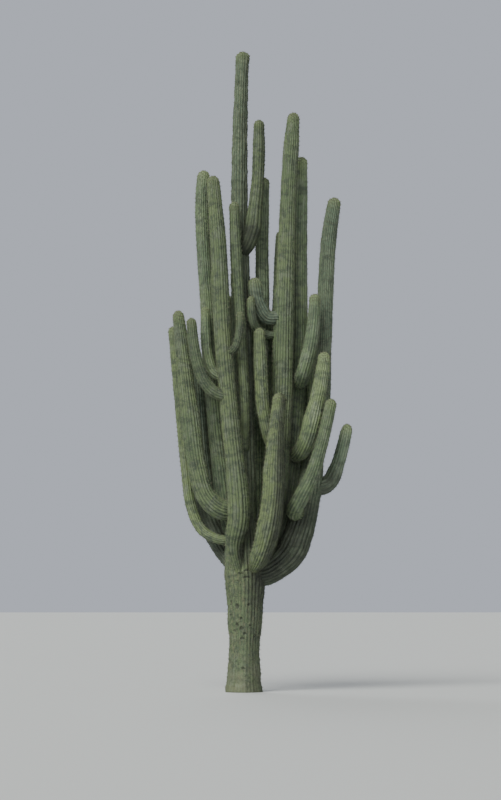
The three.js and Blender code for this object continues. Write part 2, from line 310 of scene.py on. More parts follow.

# Painted shadow on the right side round the trunk's fork: how dark, on which limbs, and where that rises and
# falls again.
FORK_PAINTED_SHADOW = 1.0
FORK_LIMBS = ("trunk", "front_left_column")
FORK_PAINTED_SHADOW_FROM = (1.5, 2.2)
FORK_PAINTED_SHADOW_TO = (2.9, 3.9)

# Painted shade all round at the root of an arm, where it meets the limb that bears it: how dark, and the
# distances between which that fades.
PAINTED_SHADE_ROOTS = {
    "far_right_arm": (0.85, 1.4, 2.8), "left_rear_arm": (0.9, 1.4, 2.4), "rear_right_column": (0.5, 1.2, 3.2),
    "high_arm": (0.9, 0.5, 1.0), "right_outer_arm": (0.9, 0.5, 1.0),
}

# Scars on the trunk: height, bearing in degrees from the front towards the right, half width, half height.
SCARS = [
    (1.45, -29, 0.045, 0.05), (1.38, -11, 0.055, 0.048), (1.85, -27, 0.055, 0.055),
    (1.92, -51, 0.04, 0.055), (1.16, -8, 0.055, 0.032), (1.21, 39, 0.035, 0.045),
    (1.44, 19, 0.04, 0.035), (1.59, -14, 0.03, 0.035), (1.27, 1, 0.04, 0.028),
    (1.67, -54, 0.03, 0.03), (1.32, -39, 0.035, 0.028), (1.89, 12, 0.05, 0.03),
    (0.52, -4, 0.05, 0.035), (2.56, -14, 0.09, 0.03), (2.47, 4, 0.11, 0.024),
    (2.62, 8, 0.08, 0.026), (2.40, -22, 0.07, 0.02), (1.30, 62, 0.04, 0.05),
    (1.78, 118, 0.05, 0.05), (0.95, 152, 0.045, 0.04), (2.20, 175, 0.05, 0.06),
    (1.52, -128, 0.045, 0.045), (0.74, -95, 0.04, 0.05), (2.32, -150, 0.04, 0.035),
]
SCAR_DEPTH = 0.022
SCAR_FLOOR = 0.45  # where the hollow's floor ends, as a share of the scar's half size
SCAR_LIP = 0.009  # height of the raised lip round it
SCAR_LIP_PLACE = 1.2  # where the lip is highest, as the same share
SCAR_LIP_WIDTH = 0.3
SCAR_EDGE = (0.75, 1.15)  # where the scar's own colour ends

# ---------- spines, in metres unless it says otherwise ----------
PAD_STEP = 0.105  # distance between two felted pads on a rib
PAD_STEP_TIP = 0.045
PAD_START = (0.8, 1.6)  # place of a rib's first pad, in such steps
PAD_STRAY = (0.85, 1.15)  # shortest and longest step, as shares of it
TIP_REACH = 0.35  # length of young growth below a tip
PAD_SIZE = 0.011
PAD_SIZES = (0.8, 1.2)  # smallest and largest pad, as shares of that
PAD_YOUNG = 0.7  # how much larger a pad is at a tip
PAD_LONG = 1.3  # length of a pad along the rib, as a share of its width
PAD_HEIGHT = 0.007
SPINES = 5  # on one pad
SPINE_LENGTH = (0.028, 0.055)
CENTRAL_LENGTH = (0.05, 0.07)
YOUNG_SHORTER = 0.25  # how much shorter spines are at a tip
SPINE_RADIUS = 0.0019
SPINE_RADII = (0.8, 1.2)  # thinnest and thickest spine, as shares of that
SPINE_LEAN = (52, 74)  # degrees that an outer spine leans away from the skin's normal
CENTRAL_LEAN = (10, 34)
SPINE_STRAY = 0.35  # how far a spine turns from its even place round the pad, in radians
STEEP = 0.8  # rise of a direction above which it counts as upright
SUNK = 0.004
BURIED = 0.86  # a pad closer to another limb's axis than this share of its radius is left out
BURIED_STEP = 0.1  # distance between the places on that axis that are tried

BRISTLES = 42  # on a limb's very tip
BRISTLE_LENGTH = (0.018, 0.034)
BRISTLE_REACH = 0.35  # radius of the tuft, as a share of the limb's
BRISTLE_LEAN = 0.9  # of the outermost ones, in radians
BRISTLE_STRAY = 0.1
BRISTLE_SUNK = 0.008
ASLANT = (0.3, 1.0, 0.2)  # a direction in which no tip points
GOLDEN_TURN = math.pi * (3 - math.sqrt(5))  # turn from one bristle to the next, which spreads them evenly

# Seeds of the random draws: from limb to limb, and where those of the spines start.
LIMB_SEEDS = 10
SPINE_SEEDS = 1000


def smoothstep(x, low, high):
    """0 up to low, 1 from high on, and a smooth rise between."""
    t = np.clip((x - low) / (high - low), 0, 1)
    return t * t * (3 - 2 * t)


def unit(vectors):
    """The vectors' directions, with a length of 1."""
    return vectors / np.maximum(np.linalg.norm(vectors, axis=-1, keepdims=True), 1e-9)


def value_at(pairs, x):
    """The value at x of a smooth profile through (place, value) pairs."""
    places, values = np.array(pairs, float).T
    after = np.clip(np.searchsorted(places, x, side="right"), 1, len(places) - 1)
    share = smoothstep(x, places[after - 1], places[after])
    return values[after - 1] + (values[after] - values[after - 1]) * share


def wobble(seed, run, step, count=1):
    """count smooth random curves along run, between -1 and 1, each with a new value every step."""
    knots = np.random.default_rng(seed).uniform(-1, 1, (int(run[-1] / step) + 3, count))
    place = run / step
    before = place.astype(int)
    share = smoothstep(place - before, 0, 1)[:, None]
    return knots[before] * (1 - share) + knots[before + 1] * share


class Axis:
    """A limb's axis: the centripetal Catmull-Rom curve through its points, measured along its length."""

    def __init__(self, points):
        p = np.array(points, float) * MM
        p = np.vstack([2 * p[0] - p[1], p, 2 * p[-1] - p[-2]])
        a, b, c, d = p[:-3], p[1:-2], p[2:-1], p[3:]
        step = np.sqrt(np.linalg.norm(np.diff(p, axis=0), axis=1))[:, None]
        s, t, u = step[:-2], step[1:-1], step[2:]
        leave = ((b - a) / s - (c - a) / (s + t) + (c - b) / t) * t
        arrive = ((c - b) / t - (d - b) / (t + u) + (d - c) / u) * t
        self.terms = np.stack([b, leave, 3 * (c - b) - 2 * leave - arrive, 2 * (b - c) + leave + arrive])
        self.steps = np.linspace(0, 1, CURVE_STEPS + 1)
        gaps = np.linalg.norm(np.diff(self.at_step(self.steps), axis=0), axis=1)
        self.run = np.concatenate([[0], np.cumsum(gaps)])
        self.length = self.run[-1]

    def at_step(self, step):
        place = step * self.terms.shape[1]
        span = np.minimum(place.astype(int), self.terms.shape[1] - 1)
        x = (place - span)[:, None]
        c0, c1, c2, c3 = self.terms[:, span]
        return c0 + x * (c1 + x * (c2 + x * c3))

    def at(self, run):
        """Points at these distances from the root."""
        return self.at_step(np.interp(run, self.run, self.steps))

    def tangents(self, run):
        """Directions of the axis there, as unit vectors."""
        ahead = self.at(np.minimum(run + TANGENT_REACH, self.length))
        return unit(ahead - self.at(np.maximum(run - TANGENT_REACH, 0)))


def diameter(limb, axis, run):
    """A limb's diameter at these distances from its root, without its rounded end."""
    if limb.name == "trunk":
        return value_at(limb.girth, axis.at(run)[:, 2] / MM) * MM
    pairs = [(i / (len(limb.girth) - 1), d) for i, d in enumerate(limb.girth)]
    return value_at(pairs, run / axis.length) * MM


def mean_radius(limb, axis, run):
    """A limb's radius at these distances from its root, rounded off at its tip, and how long that end is."""
    dome = DOME_LENGTH * diameter(limb, axis, np.array([axis.length]))[0]
    left = np.clip((axis.length - run) / dome, 0, 1)
    return diameter(limb, axis, run) / 2 * np.sqrt(1 - (1 - left) ** 2), dome


def ring_places(limb, axis, dome):
    """Where a limb's rings stand: evenly along it, then closer together on its rounded end."""
    shaft = axis.length - dome
    start = 0
    places = []
    if limb.name == "trunk":
        places.append(np.arange(TRUNK_FOOT, TRUNK_FOOT + TRUNK_FORK, FINE_RING_STEP))
        start = places[0][-1] + FINE_RING_STEP
    places.append(np.linspace(start, shaft, max(FEWEST_RINGS, round((shaft - start) / RING_STEP))))
    turn = np.arange(1, DOME_RINGS) / DOME_RINGS * math.pi / 2
    places.append(shaft + dome * np.sin(turn))
    return np.concatenate(places)


def frames(tangent):
    """Two directions square to the axis at each ring, carried along it without twist."""
    across = np.zeros_like(tangent)
    last = np.array([0.0, -1.0, 0.0])
    for i, t in enumerate(tangent):
        last = unit(last - t * last.dot(t))
        across[i] = last
    return across, np.cross(tangent, across)


def pinches(seed, run):
    """The waists between seasons' growth, as a share of the radius."""
    rng = np.random.default_rng(seed)
    waists = np.zeros_like(run)
    place = rng.uniform(0, PINCH_STEP[1])
    while place < run[-1]:
        waists += rng.uniform(*PINCH_SHARE) * np.exp(-(((run - place) / PINCH_REACH) ** 2))
        place += rng.uniform(*PINCH_STEP)
    return PINCH * waists


def scar_relief(height, angle, radius):
    """How far the skin is pushed out by the trunk's scars, and how much of each point is scar."""
    push = np.zeros_like(angle)
    share = np.zeros_like(angle)
    for scar_height, bearing, half_width, half_height in SCARS:
        turn = (angle - math.radians(bearing) + math.pi) % (2 * math.pi) - math.pi
        reach = np.hypot(turn * radius / half_width, (height - scar_height) / half_height)
        inside = 1 - smoothstep(reach, SCAR_FLOOR, 1)
        lip = np.exp(-(((reach - SCAR_LIP_PLACE) / SCAR_LIP_WIDTH) ** 2))
        push += SCAR_LIP * lip - SCAR_DEPTH * inside
        share = np.maximum(share, 1 - smoothstep(reach, *SCAR_EDGE))
    return push, share


def darkness(limb, run, centre, radius, points):
    """The painted shade of each point of a skin: on its right side, round the trunk's fork and at an arm's
    root.
    """
    across = (points[..., 0] - centre[:, None, 0]) / np.maximum(radius, LEAST_RADIUS)[:, None]
    side = np.full_like(run, PAINTED_SHADE_SIDES.get(limb.name, 0))
    if limb.name in FORK_LIMBS:
        height = centre[:, 2]
        above = smoothstep(height, *FORK_PAINTED_SHADOW_FROM)
        below = 1 - smoothstep(height, *FORK_PAINTED_SHADOW_TO)
        side += (FORK_PAINTED_SHADOW - side) * above * below
    root, *fade = PAINTED_SHADE_ROOTS.get(limb.name, (0, 0, 1))
    sides = side[:, None] * smoothstep(across, *PAINTED_SHADE_SIDE_FROM)
    roots = root * (1 - smoothstep(run, *fade))
    return np.maximum(sides, roots[:, None])


def grow(limb, seed):
    """A limb's skin as rings of points, with what its finish and its spines need to know of each point.
    Each of its patterns draws from a seed of its own."""
    axis = Axis(limb.spine)
    dome = mean_radius(limb, axis, np.array([axis.length]))[1]
    run = ring_places(limb, axis, dome)
    radius = mean_radius(limb, axis, run)[0]
    radius = radius * (1 + SWELL * wobble(seed, run, SWELL_STEP)[:, 0] - pinches(seed + 1, run))
    centre = np.maximum(axis.at(run), GROUND)
    across, side = frames(axis.tangents(run))

    samples = len(RIB_SAMPLES)
    across_rib = np.tile(RIB_SAMPLES, limb.ribs)
    rib = np.repeat(np.arange(limb.ribs), samples)
    sway = RIB_SWAY * wobble(seed + 2, run, SWAY_STEP, limb.ribs)
    sway = sway[:, rib] * (1 - across_rib) + sway[:, (rib + 1) % limb.ribs] * across_rib
    place = rib + across_rib + sway
    shape = np.sin(np.pi * across_rib) ** RIB_ROUND
    uneven = 1 + RIB_UNEVEN * wobble(seed + 3, run, SWAY_STEP, limb.ribs)[:, rib]
    ridge = shape * np.minimum(uneven, 1)
    depth = np.full_like(run, CREST - FURROW)
    if limb.name == "trunk":
        merged = smoothstep(run - TRUNK_FOOT, *RIBS_MERGE)[:, None]
        pair = np.sin(np.pi * ((rib + across_rib) / 2 % 1)) ** RIB_ROUND
        ridge = ridge * (1 - merged) + pair * merged
        shallow = 1 - smoothstep(run - TRUNK_FOOT, 0, FOOT_REACH)
        depth *= 1 - (1 - FOOT_SHALLOW) * shallow
    knobs = LUMP * ridge * wobble(seed + 5, run, LUMP_STEP, limb.ribs)[:, rib]
    if limb.name == "trunk":
        knobs *= 1 + (KNOBBLY - 1) * smoothstep(centre[:, 2:], *KNOBBLY_FROM)
    young = 1 - smoothstep(axis.length - run, 0, TIP_REACH)[:, None]
    knobs *= 1 + (KNOBBLY_TIP - 1) * young
    reach = radius[:, None] * (CREST - depth[:, None] * (1 - ridge) + knobs)
    angle = 2 * np.pi * place / limb.ribs
    scar = np.zeros_like(angle)
    if limb.name == "trunk":
        height = centre[:, 2:]
        lobes = np.exp(-height / FOOT_REACH * FOOT_LOBE_FADE) * np.cos(FOOT_LOBES * angle)
        push, scar = scar_relief(height, angle, radius[:, None])
        reach = reach * (1 + FOOT_LOBE_SIZE * lobes) + push
    out = across[:, None] * np.cos(angle)[..., None] + side[:, None] * np.sin(angle)[..., None]
    phase = np.random.default_rng(seed + 4).uniform(0, 1, limb.ribs)
    points = np.maximum(centre[:, None] + out * reach[..., None], GROUND)
    return {
        "limb": limb, "axis": axis, "run": run, "centre": centre, "radius": radius,
        "points": points, "tip": axis.at(np.array([axis.length]))[0],
        "facts": {
            "crest": np.broadcast_to(ridge, angle.shape),
            "run": np.broadcast_to(run[:, None], angle.shape),
            "young": np.broadcast_to(young, angle.shape),
            "phase": np.broadcast_to(phase[rib], angle.shape),
            "scar": scar,
            "shade": darkness(limb, run, centre, radius, points),
        },
    }


# ---------- meshes ----------
NO_QUADS = np.zeros((0, 4), int)
NO_TRIANGLES = np.zeros((0, 3), int)


def mesh_object(name, points, quads, triangles, facts, materials, smooth):
    """An object from arrays: points, faces as rows of point numbers, and a number per point for each fact."""
    mesh = bpy.data.meshes.new(name)
    corners = np.concatenate([quads.ravel(), triangles.ravel()]).astype(np.int32)
    sizes = np.concatenate([np.full(len(quads), 4), np.full(len(triangles), 3)])
    starts = np.concatenate([[0], np.cumsum(sizes)[:-1]]).astype(np.int32)
    mesh.vertices.add(len(points))
    mesh.vertices.foreach_set("co", points.astype(np.float32).ravel())
    mesh.loops.add(len(corners))
    mesh.loops.foreach_set("vertex_index", corners)
    mesh.polygons.add(len(sizes))
    mesh.polygons.foreach_set("loop_start", starts)
    mesh.polygons.foreach_set("use_smooth", np.full(len(sizes), smooth))
    for fact, values in facts.items():
        layer = mesh.attributes.new(fact, "FLOAT", "POINT")
        layer.data.foreach_set("value", np.ascontiguousarray(values, np.float32))
    mesh.update(calc_edges=True)
    mesh.validate()
    for material in materials:
        mesh.materials.append(material)
    made = bpy.data.objects.new(name, mesh)
    bpy.context.scene.collection.objects.link(made)
    return made


def skin_object(grown, material):
    """The limb's skin as one closed mesh: its rings, a flat root and a tip."""
    rings, sides = grown["points"].shape[:2]
    low = np.arange(rings - 1)[:, None] * sides
    here = np.arange(sides)
    there = (here + 1) % sides
    quads = np.stack([low + here, low + there, low + sides + there, low + sides + here], axis=-1)
    root = rings * sides
    tip = root + 1
    last = (rings - 1) * sides
    root_fan = np.stack([np.full(sides, root), there, here], axis=-1)
    tip_fan = np.stack([np.full(sides, tip), last + here, last + there], axis=-1)
    ends = np.array([grown["centre"][0], grown["tip"]])
    points = np.vstack([grown["points"].reshape(-1, 3), ends])
    facts = {}
    for name, values in grown["facts"].items():
        at_ends = [values[0].mean(keepdims=True), values[-1].mean(keepdims=True)]
        facts[name] = np.concatenate([values.ravel(), *at_ends])
    limb = grown["limb"]
    tone = limb.tone
    if limb.name == "trunk":
        tone = COLUMN_TONE + (limb.tone - COLUMN_TONE) * (1 - smoothstep(points[:, 2], *TONE_TURNS))
    facts["tone"] = np.broadcast_to(tone, len(points))
    # the limb's lightness: partly its own green, partly painted light
    facts["light"] = np.full(len(points), limb.light)
    triangles = np.vstack([root_fan, tip_fan])
    return mesh_object("skin_" + limb.name, points, quads.reshape(-1, 4), triangles, facts, [material], True)


# ---------- spines ----------
def crest_lines(grown):
    """The columns of points that run along the ribs' crests, each with the stretch where it is a crest."""
    limb, samples = grown["limb"], len(RIB_SAMPLES)
    middle = samples // 2
    whole = (grown["run"][0], grown["axis"].length)
    if limb.name != "trunk":
        return [(rib * samples + middle, whole) for rib in range(limb.ribs)]
    merge = TRUNK_FOOT + sum(RIBS_MERGE) / 2
    lines = [(rib * samples + middle, (whole[0], merge)) for rib in range(limb.ribs)]
    return lines + [(rib * samples, (merge, whole[1])) for rib in range(1, limb.ribs, 2)]


def pads_on(grown, rng):
    """Where the pads sit on a limb: place, normal, direction along the rib, how young it is and the painted
    shade it takes from the skin.
    """
    run, points, centre = grown["run"], grown["points"], grown["centre"]
    length = grown["axis"].length
    found = []
    for column, (start, end) in crest_lines(grown):
        line = points[:, column]
        along = unit(np.gradient(line, run, axis=0))
        normal = line - centre
        normal = unit(normal - along * (normal * along).sum(axis=1, keepdims=True))
        places = []
        place = start + PAD_STEP * rng.uniform(*PAD_START)
        while place < min(end, run[-1]):
            places.append(place)
            young = 1 - min(1, (length - place) / TIP_REACH)
            place += (PAD_STEP + (PAD_STEP_TIP - PAD_STEP) * young) * rng.uniform(*PAD_STRAY)
        places = np.array(places)
        columns = [
            np.stack([np.interp(places, run, of[:, k]) for k in range(3)], axis=1)
            for of in (line, normal, along)
        ]
        young = 1 - smoothstep(length - places, 0, TIP_REACH)
        dark = np.interp(places, run, grown["facts"]["shade"][:, column])
        found.append(np.hstack([*columns, young[:, None], dark[:, None]]))
    return np.vstack(found)


def columns_of(pads):
    """The pads' places, normals, directions along the rib, youth and painted shade."""
    return pads[:, :3], pads[:, 3:6], pads[:, 6:9], pads[:, 9], pads[:, 10]


def clear_of(others, pads):
    """The pads that no other limb covers."""
    kept = np.ones(len(pads), bool)
    for other in others:
        axis = other["axis"]
        run = np.arange(0, axis.length, BURIED_STEP)
        spots = axis.at(run)
        radius = mean_radius(other["limb"], axis, run)[0] * BURIED
        box_low = (spots - radius[:, None]).min(axis=0)
        box_high = (spots + radius[:, None]).max(axis=0)
        near = np.nonzero(((pads[:, :3] > box_low) & (pads[:, :3] < box_high)).all(axis=1))[0]
        if len(near):
            away = np.linalg.norm(pads[near, None, :3] - spots[None], axis=2)
            kept[near[(away < radius).any(axis=1)]] = False
    return pads[kept]


def turned(normal, along, lean, bearing):
    """Unit directions that lean away from the normal, by angles in radians."""
    beside = np.cross(normal, along)
    sideways = along * np.cos(bearing)[:, None] + beside * np.sin(bearing)[:, None]
    return unit(normal * np.cos(lean)[:, None] + sideways * np.sin(lean)[:, None])


def needles(foot, direction, length, radius, dark):
    """Three-sided spines, sunk a little at the foot: points, triangles and the painted shade of each point.
    """
    helper = np.where(np.abs(direction[:, 2:]) < STEEP, [[0, 0, 1.0]], [[1.0, 0, 0]])
    first = unit(np.cross(direction, helper))
    second = np.cross(direction, first)
    base = foot - direction * SUNK
    turns = 2 * np.pi * np.arange(3) / 3
    corners = [base + radius[:, None] * (first * math.cos(a) + second * math.sin(a)) for a in turns]
    points = np.stack([*corners, foot + direction * length[:, None]], axis=1)
    start = points.shape[1] * np.arange(len(foot))[:, None, None]
    faces = start + np.array([[0, 1, 3], [1, 2, 3], [2, 0, 3]])
    return points.reshape(-1, 3), faces.reshape(-1, 3), np.repeat(dark, points.shape[1])


def felt_pads(foot, normal, along, size, dark):
    """Low four-sided cushions of felt: points, triangles and the painted shade of each point."""
    beside = np.cross(normal, along)
    base = foot - normal * SUNK
    ahead = along * size[:, None] * PAD_LONG
    aside = beside * size[:, None]
    corners = [base + ahead, base + aside, base - ahead, base - aside]
    top = foot + normal * (PAD_HEIGHT * size / PAD_SIZE)[:, None]
    points = np.stack([*corners, top], axis=1)
    start = points.shape[1] * np.arange(len(foot))[:, None, None]
    faces = start + np.array([[0, 1, 4], [1, 2, 4], [2, 3, 4], [3, 0, 4]])
    return points.reshape(-1, 3), faces.reshape(-1, 3), np.repeat(dark, points.shape[1])


def spines_on(pads, rng):
    """The spines of these pads: outer ones all round and one longer central one."""
    count = len(pads)
    foot, normal, along, young, dark = columns_of(pads)
    parts = []
    spin = rng.uniform(0, 2 * np.pi, count)
    for k in range(SPINES):
        central = k == 0
        lean = np.radians(rng.uniform(*(CENTRAL_LEAN if central else SPINE_LEAN), count))
        bearing = spin + 2 * np.pi * k / (SPINES - 1) + rng.uniform(-SPINE_STRAY, SPINE_STRAY, count)
        length = rng.uniform(*(CENTRAL_LENGTH if central else SPINE_LENGTH), count)
        length = length * (1 - YOUNG_SHORTER * young)
        radius = SPINE_RADIUS * rng.uniform(*SPINE_RADII, count)
        parts.append(needles(foot, turned(normal, along, lean, bearing), length, radius, dark))
    return parts


def bristles_on_tip(grown, rng):
    """Short bristles that stand up from the felt on a limb's very tip."""
    axis = grown["axis"]
    tip = np.array([axis.length])
    spots = np.arange(BRISTLES)
    reach = diameter(grown["limb"], axis, tip)[0] / 2 * BRISTLE_REACH
    away = reach * np.sqrt((spots + 0.5) / BRISTLES)
    bearing = spots * GOLDEN_TURN
    normal = np.repeat(axis.tangents(tip), BRISTLES, axis=0)
    along = unit(np.cross(normal, [ASLANT]))
    sideways = turned(normal, along, np.full(BRISTLES, math.pi / 2), bearing)
    foot = grown["tip"] + sideways * away[:, None] - normal * BRISTLE_SUNK
    lean = BRISTLE_LEAN * away / reach + rng.uniform(-BRISTLE_STRAY, BRISTLE_STRAY, BRISTLES)
    length = rng.uniform(*BRISTLE_LENGTH, BRISTLES)
    radius = np.full(BRISTLES, SPINE_RADIUS)
    return needles(foot, turned(normal, along, lean, bearing), length, radius, np.zeros(BRISTLES))


def joined(parts):
    """Several (points, triangles, the painted shade of each point) as one."""
    points, triangles, dark = zip(*parts)
    shift = np.cumsum([0] + [len(of) for of in points[:-1]])
    return np.vstack(points), np.vstack([of + by for of, by in zip(triangles, shift)]), np.concatenate(dark)


# ---------- colours ----------
def linear(red, green, blue):
    """A colour on the screen's 0 to 255 scale as the shader's linear one."""
    shares = [c / 255 for c in (red, green, blue)]
    return tuple(c / 12.92 if c <= 0.04045 else ((c + 0.055) / 1.055) ** 2.4 for c in shares) + (1.0,)


LEAF_GREEN = linear(88, 105, 78)
OLIVE = linear(102, 117, 84)
YELLOW_GREEN = linear(120, 134, 86)
BLUE_GREEN = linear(90, 103, 94)
GREY_GREEN = linear(110, 119, 101)
DEEP_GREEN = linear(64, 74, 61)
PAINTED_SHADE_GREEN = linear(51, 55, 46)  # painted shade on the right sides, round the fork and at the roots
# The furrows' colour: partly dirt, partly painted shade in the creases between ribs.
FURROW_GREEN = linear(54, 64, 54)
CREST_STRAW = linear(142, 150, 116)
YOUNG_GREEN = linear(116, 132, 88)
SCAR_BROWN = linear(58, 64, 52)
SCAR_RIM = linear(92, 100, 78)
CORK = linear(116, 116, 90)
SPINE_GREY = linear(134, 136, 116)
SPINE_TAN = linear(98, 101, 80)
FELT_TAN = linear(116, 120, 94)
PAINTED_SHADE_GREY = linear(62, 64, 52)  # painted shade on the spines and felt there
FLOOR_PALE = linear(206, 208, 208)

# ---------- patterns of the finishes ----------
# A noise is its scale, detail, stretch and swirl. A span is the two values between which a share rises, and
# the shares that it rises from and to, where they aren't 0 and 1. A pattern is a noise and its span.
BROAD_PATCHES = ((0.9,), 0.36, 0.64)
PALE_MOTTLE = ((6.5, 5, (1, 1, 0.5), 0.5), 0.48, 0.66, 0, 0.7)
DARK_MOTTLE = ((10, 5, (1, 1, 0.6), 0.5), 0.5, 0.66, 0, 0.75)
YELLOWISH = (0, 1, 0, 0.8)
BLUISH = (0, -1, 0, 0.8)

BAND_NOISE = (5.5, 3)  # along the limb
BANDS = (0.54, 0.76, 0, 0.35)
WAVY_BARS = ((3.1, 6, (1, 1, 2.1), 1.1), 0.47, 0.67, 0, 0.7)
WEAR_NOISE = (11, 3)
FURROWS = (0.55, 0.02)  # across the rib, from 0 in the furrow to 1 on the crest
FURROWS_WORN = (0.3, 0.7, 0.5, 1)
CRESTS = (0.86, 1)
CRESTS_WORN = (0.35, 0.75, 0.1, 0.6)
RIBS_SHOW = (0.8, 3.4, 0.3, 1)  # heights on the trunk
YOUNG_SHARE = 0.6

DOT_STEP = 0.028  # distance between two felt dots on a rib, in metres
DOT_SHIFT = 9  # how far the dots of one rib are moved against another's, in such steps
DOT_LENGTH = (0.2, 0.1)  # where a dot ends and where it is full, in steps from its middle
DOT_WIDTH = (0.95, 0.99)  # the same across the rib
DOT_SHARE = 0.6

BELOW_FORK = (3.4, 2.4)  # heights on the trunk
STREAK_NOISE = (32, 4, (1, 1, 0.22))
PALE_STREAKS = (0.5, 0.66, 0, 0.7)
DARK_STREAKS = (0.46, 0.3, 0, 0.6)
CORK_STREAKS = (0.35, 0.65)
DARK_FLECKS = ((21, 4, (1, 1, 1.4)), 0.54, 0.66, 0, 0.9)
CORK_RAGGED = ((3.5, 5), 0.3, 0.7, -0.45, 0.45)
CORK_HEIGHTS = (0.8, 0.05, 0, 0.6)
SCARS_TORN = ((34, 4), 0.3, 0.7, -0.4, 0.4)
SCAR_RIMS = (0.1, 0.35, 0, 0.5)
SCAR_MIDDLES = (0.3, 0.8, 0, 0.85)

# Patches in which the painted shade is fuller or thinner
PAINTED_SHADE_PATCHES = ((5, 4), 0.35, 0.6, 0.6, 0.92)
PALE_PECKS = ((16, 2, (1, 1, 0.6)), 0.71, 0.78, 0, 0.6)
GROWTH_UNEVEN = ((40,), 0.35, 0.65)
GROWTH_PAINTED_SHADE = 0.8  # how much of the skin's painted shade the spines and felt on it take

SKIN_ROUGHNESS = 0.62
ROUGH_PATCHES = ((9, 3), 0.3, 0.7, 0.5, 0.78)  # which take its place
SKIN_SPECULAR = 0.35
# Relief: a noise or the dots, its strength, and its height in metres.
WRINKLES = ((26, 4, (1, 1, 2.4)), 0.35, 0.01)
CREASES = ((14, 3), 0.3, 0.012)
GRIT = ((150, 2), 0.25, 0.002)
DOT_RELIEF = (0.6, 0.006)


# ---------- finishes ----------
class Finish:
    """A material and short calls that fill its node tree."""

    def __init__(self, name, roughness):
        self.material = bpy.data.materials.new(name)
        self.material.use_nodes = True
        self.tree = self.material.node_tree
        self.shader = self.tree.nodes["Principled BSDF"]
        self.shader.inputs["Roughness"].default_value = roughness
        self.place = self.add("TexCoord").outputs["Object"]

    def add(self, kind, **sockets):
        """A new node of this kind, with these values or sockets fed to its inputs."""
        made = self.tree.nodes.new("ShaderNode" + kind)
        for name, value in sockets.items():
            self.feed(made.inputs[name], value)
        return made

    def feed(self, socket, value):
        if isinstance(value, bpy.types.NodeSocket):
            self.tree.links.new(value, socket)
        else:
            socket.default_value = value

    def fact(self, name):
        """What the mesh says of each point under this name."""
        made = self.add("Attribute")
        made.attribute_name = name
        return made.outputs["Fac"]

    def noise(self, scale, detail=2.0, stretch=(1, 1, 1), swirl=0.0):
        place = self.add("Mapping", Vector=self.place, Scale=stretch).outputs["Vector"]
        return self.add("TexNoise", Vector=place, Scale=scale, Detail=detail, Distortion=swirl).outputs["Fac"]

    def noise_along(self, run, scale, detail=2.0):
        """A noise that changes along the limb only."""
        made = self.add("TexNoise", Scale=scale, Detail=detail)
        made.noise_dimensions = "1D"
        self.feed(made.inputs["W"], run)
        return made.outputs["Fac"]

    def math(self, operation, first, second=0.0):
        made = self.add("Math")
        made.operation = operation
        self.feed(made.inputs[0], first)
        self.feed(made.inputs[1], second)
        return made.outputs[0]

    def span(self, value, low, high, start=0.0, end=1.0):
        """The value brought from low..high to start..end, smoothly and held at the ends."""
        made = self.add("MapRange", Value=value)
        made.interpolation_type = "SMOOTHSTEP"
        for name, number in (("From Min", low), ("From Max", high), ("To Min", start), ("To Max", end)):
            made.inputs[name].default_value = number
        return made.outputs["Result"]

    def pattern(self, noise, *span):
        return self.span(self.noise(*noise), *span)

    def mix(self, share, first, second):
        """Two colours mixed; sockets 6 and 7 are the node's colour inputs and 2 is its colour output."""
        made = self.add("Mix")
        made.data_type = "RGBA"
        self.feed(made.inputs[0], share)
        self.feed(made.inputs[6], first)
        self.feed(made.inputs[7], second)
        return made.outputs[2]

    def scaled(self, colour, by):
        made = self.add("VectorMath")
        made.operation = "SCALE"
        self.feed(made.inputs["Vector"], colour)
        self.feed(made.inputs["Scale"], by)
        return made.outputs["Vector"]

    def bump(self, height, strength, distance, below=None):
        made = self.add("Bump", Height=height, Strength=strength, Distance=distance)
        if below:
            self.feed(made.inputs["Normal"], below)
        return made.outputs["Normal"]


def own_green(look):
    """The limb's own green, in broad patches and then in a mottle of a hand's breadth."""
    tone = look.fact("tone")
    green = look.mix(look.pattern(*BROAD_PATCHES), LEAF_GREEN, OLIVE)
    green = look.mix(look.span(tone, *YELLOWISH), green, YELLOW_GREEN)
    green = look.mix(look.span(tone, *BLUISH), green, BLUE_GREEN)
    green = look.mix(look.pattern(*PALE_MOTTLE), green, GREY_GREEN)
    return look.mix(look.pattern(*DARK_MOTTLE), green, DEEP_GREEN)


def felt_dots(look, run, crest):
    """Dots on the crests at every areole of the living plant, between the modelled pads."""
    shift = look.math("MULTIPLY", look.fact("phase"), DOT_SHIFT)
    place = look.math("ADD", look.math("DIVIDE", run, DOT_STEP), shift)
    beat = look.math("ABSOLUTE", look.math("SUBTRACT", look.math("FRACT", place), 0.5))
    return look.math("MULTIPLY", look.span(beat, *DOT_LENGTH), look.span(crest, *DOT_WIDTH))


def corky_coat(look, height, green):
    """The bare trunk's marks over its green: streaks and flecks, cork at the foot, and scars."""
    streaks = look.noise(*STREAK_NOISE)
    below_fork = look.span(height, *BELOW_FORK)
    marks = [
        (look.span(streaks, *PALE_STREAKS), CORK),
        (look.span(streaks, *DARK_STREAKS), DEEP_GREEN),
        (look.pattern(*DARK_FLECKS), DEEP_GREEN),
    ]
    for share, colour in marks:
        green = look.mix(look.math("MULTIPLY", below_fork, share), green, colour)
    cork = look.span(look.math("ADD", height, look.pattern(*CORK_RAGGED)), *CORK_HEIGHTS)
    green = look.mix(cork, green, look.mix(look.span(streaks, *CORK_STREAKS), CORK, GREY_GREEN))
    torn = look.math("ADD", look.fact("scar"), look.pattern(*SCARS_TORN))
    green = look.mix(look.span(torn, *SCAR_RIMS), green, SCAR_RIM)
    return look.mix(look.span(torn, *SCAR_MIDDLES), green, SCAR_BROWN)


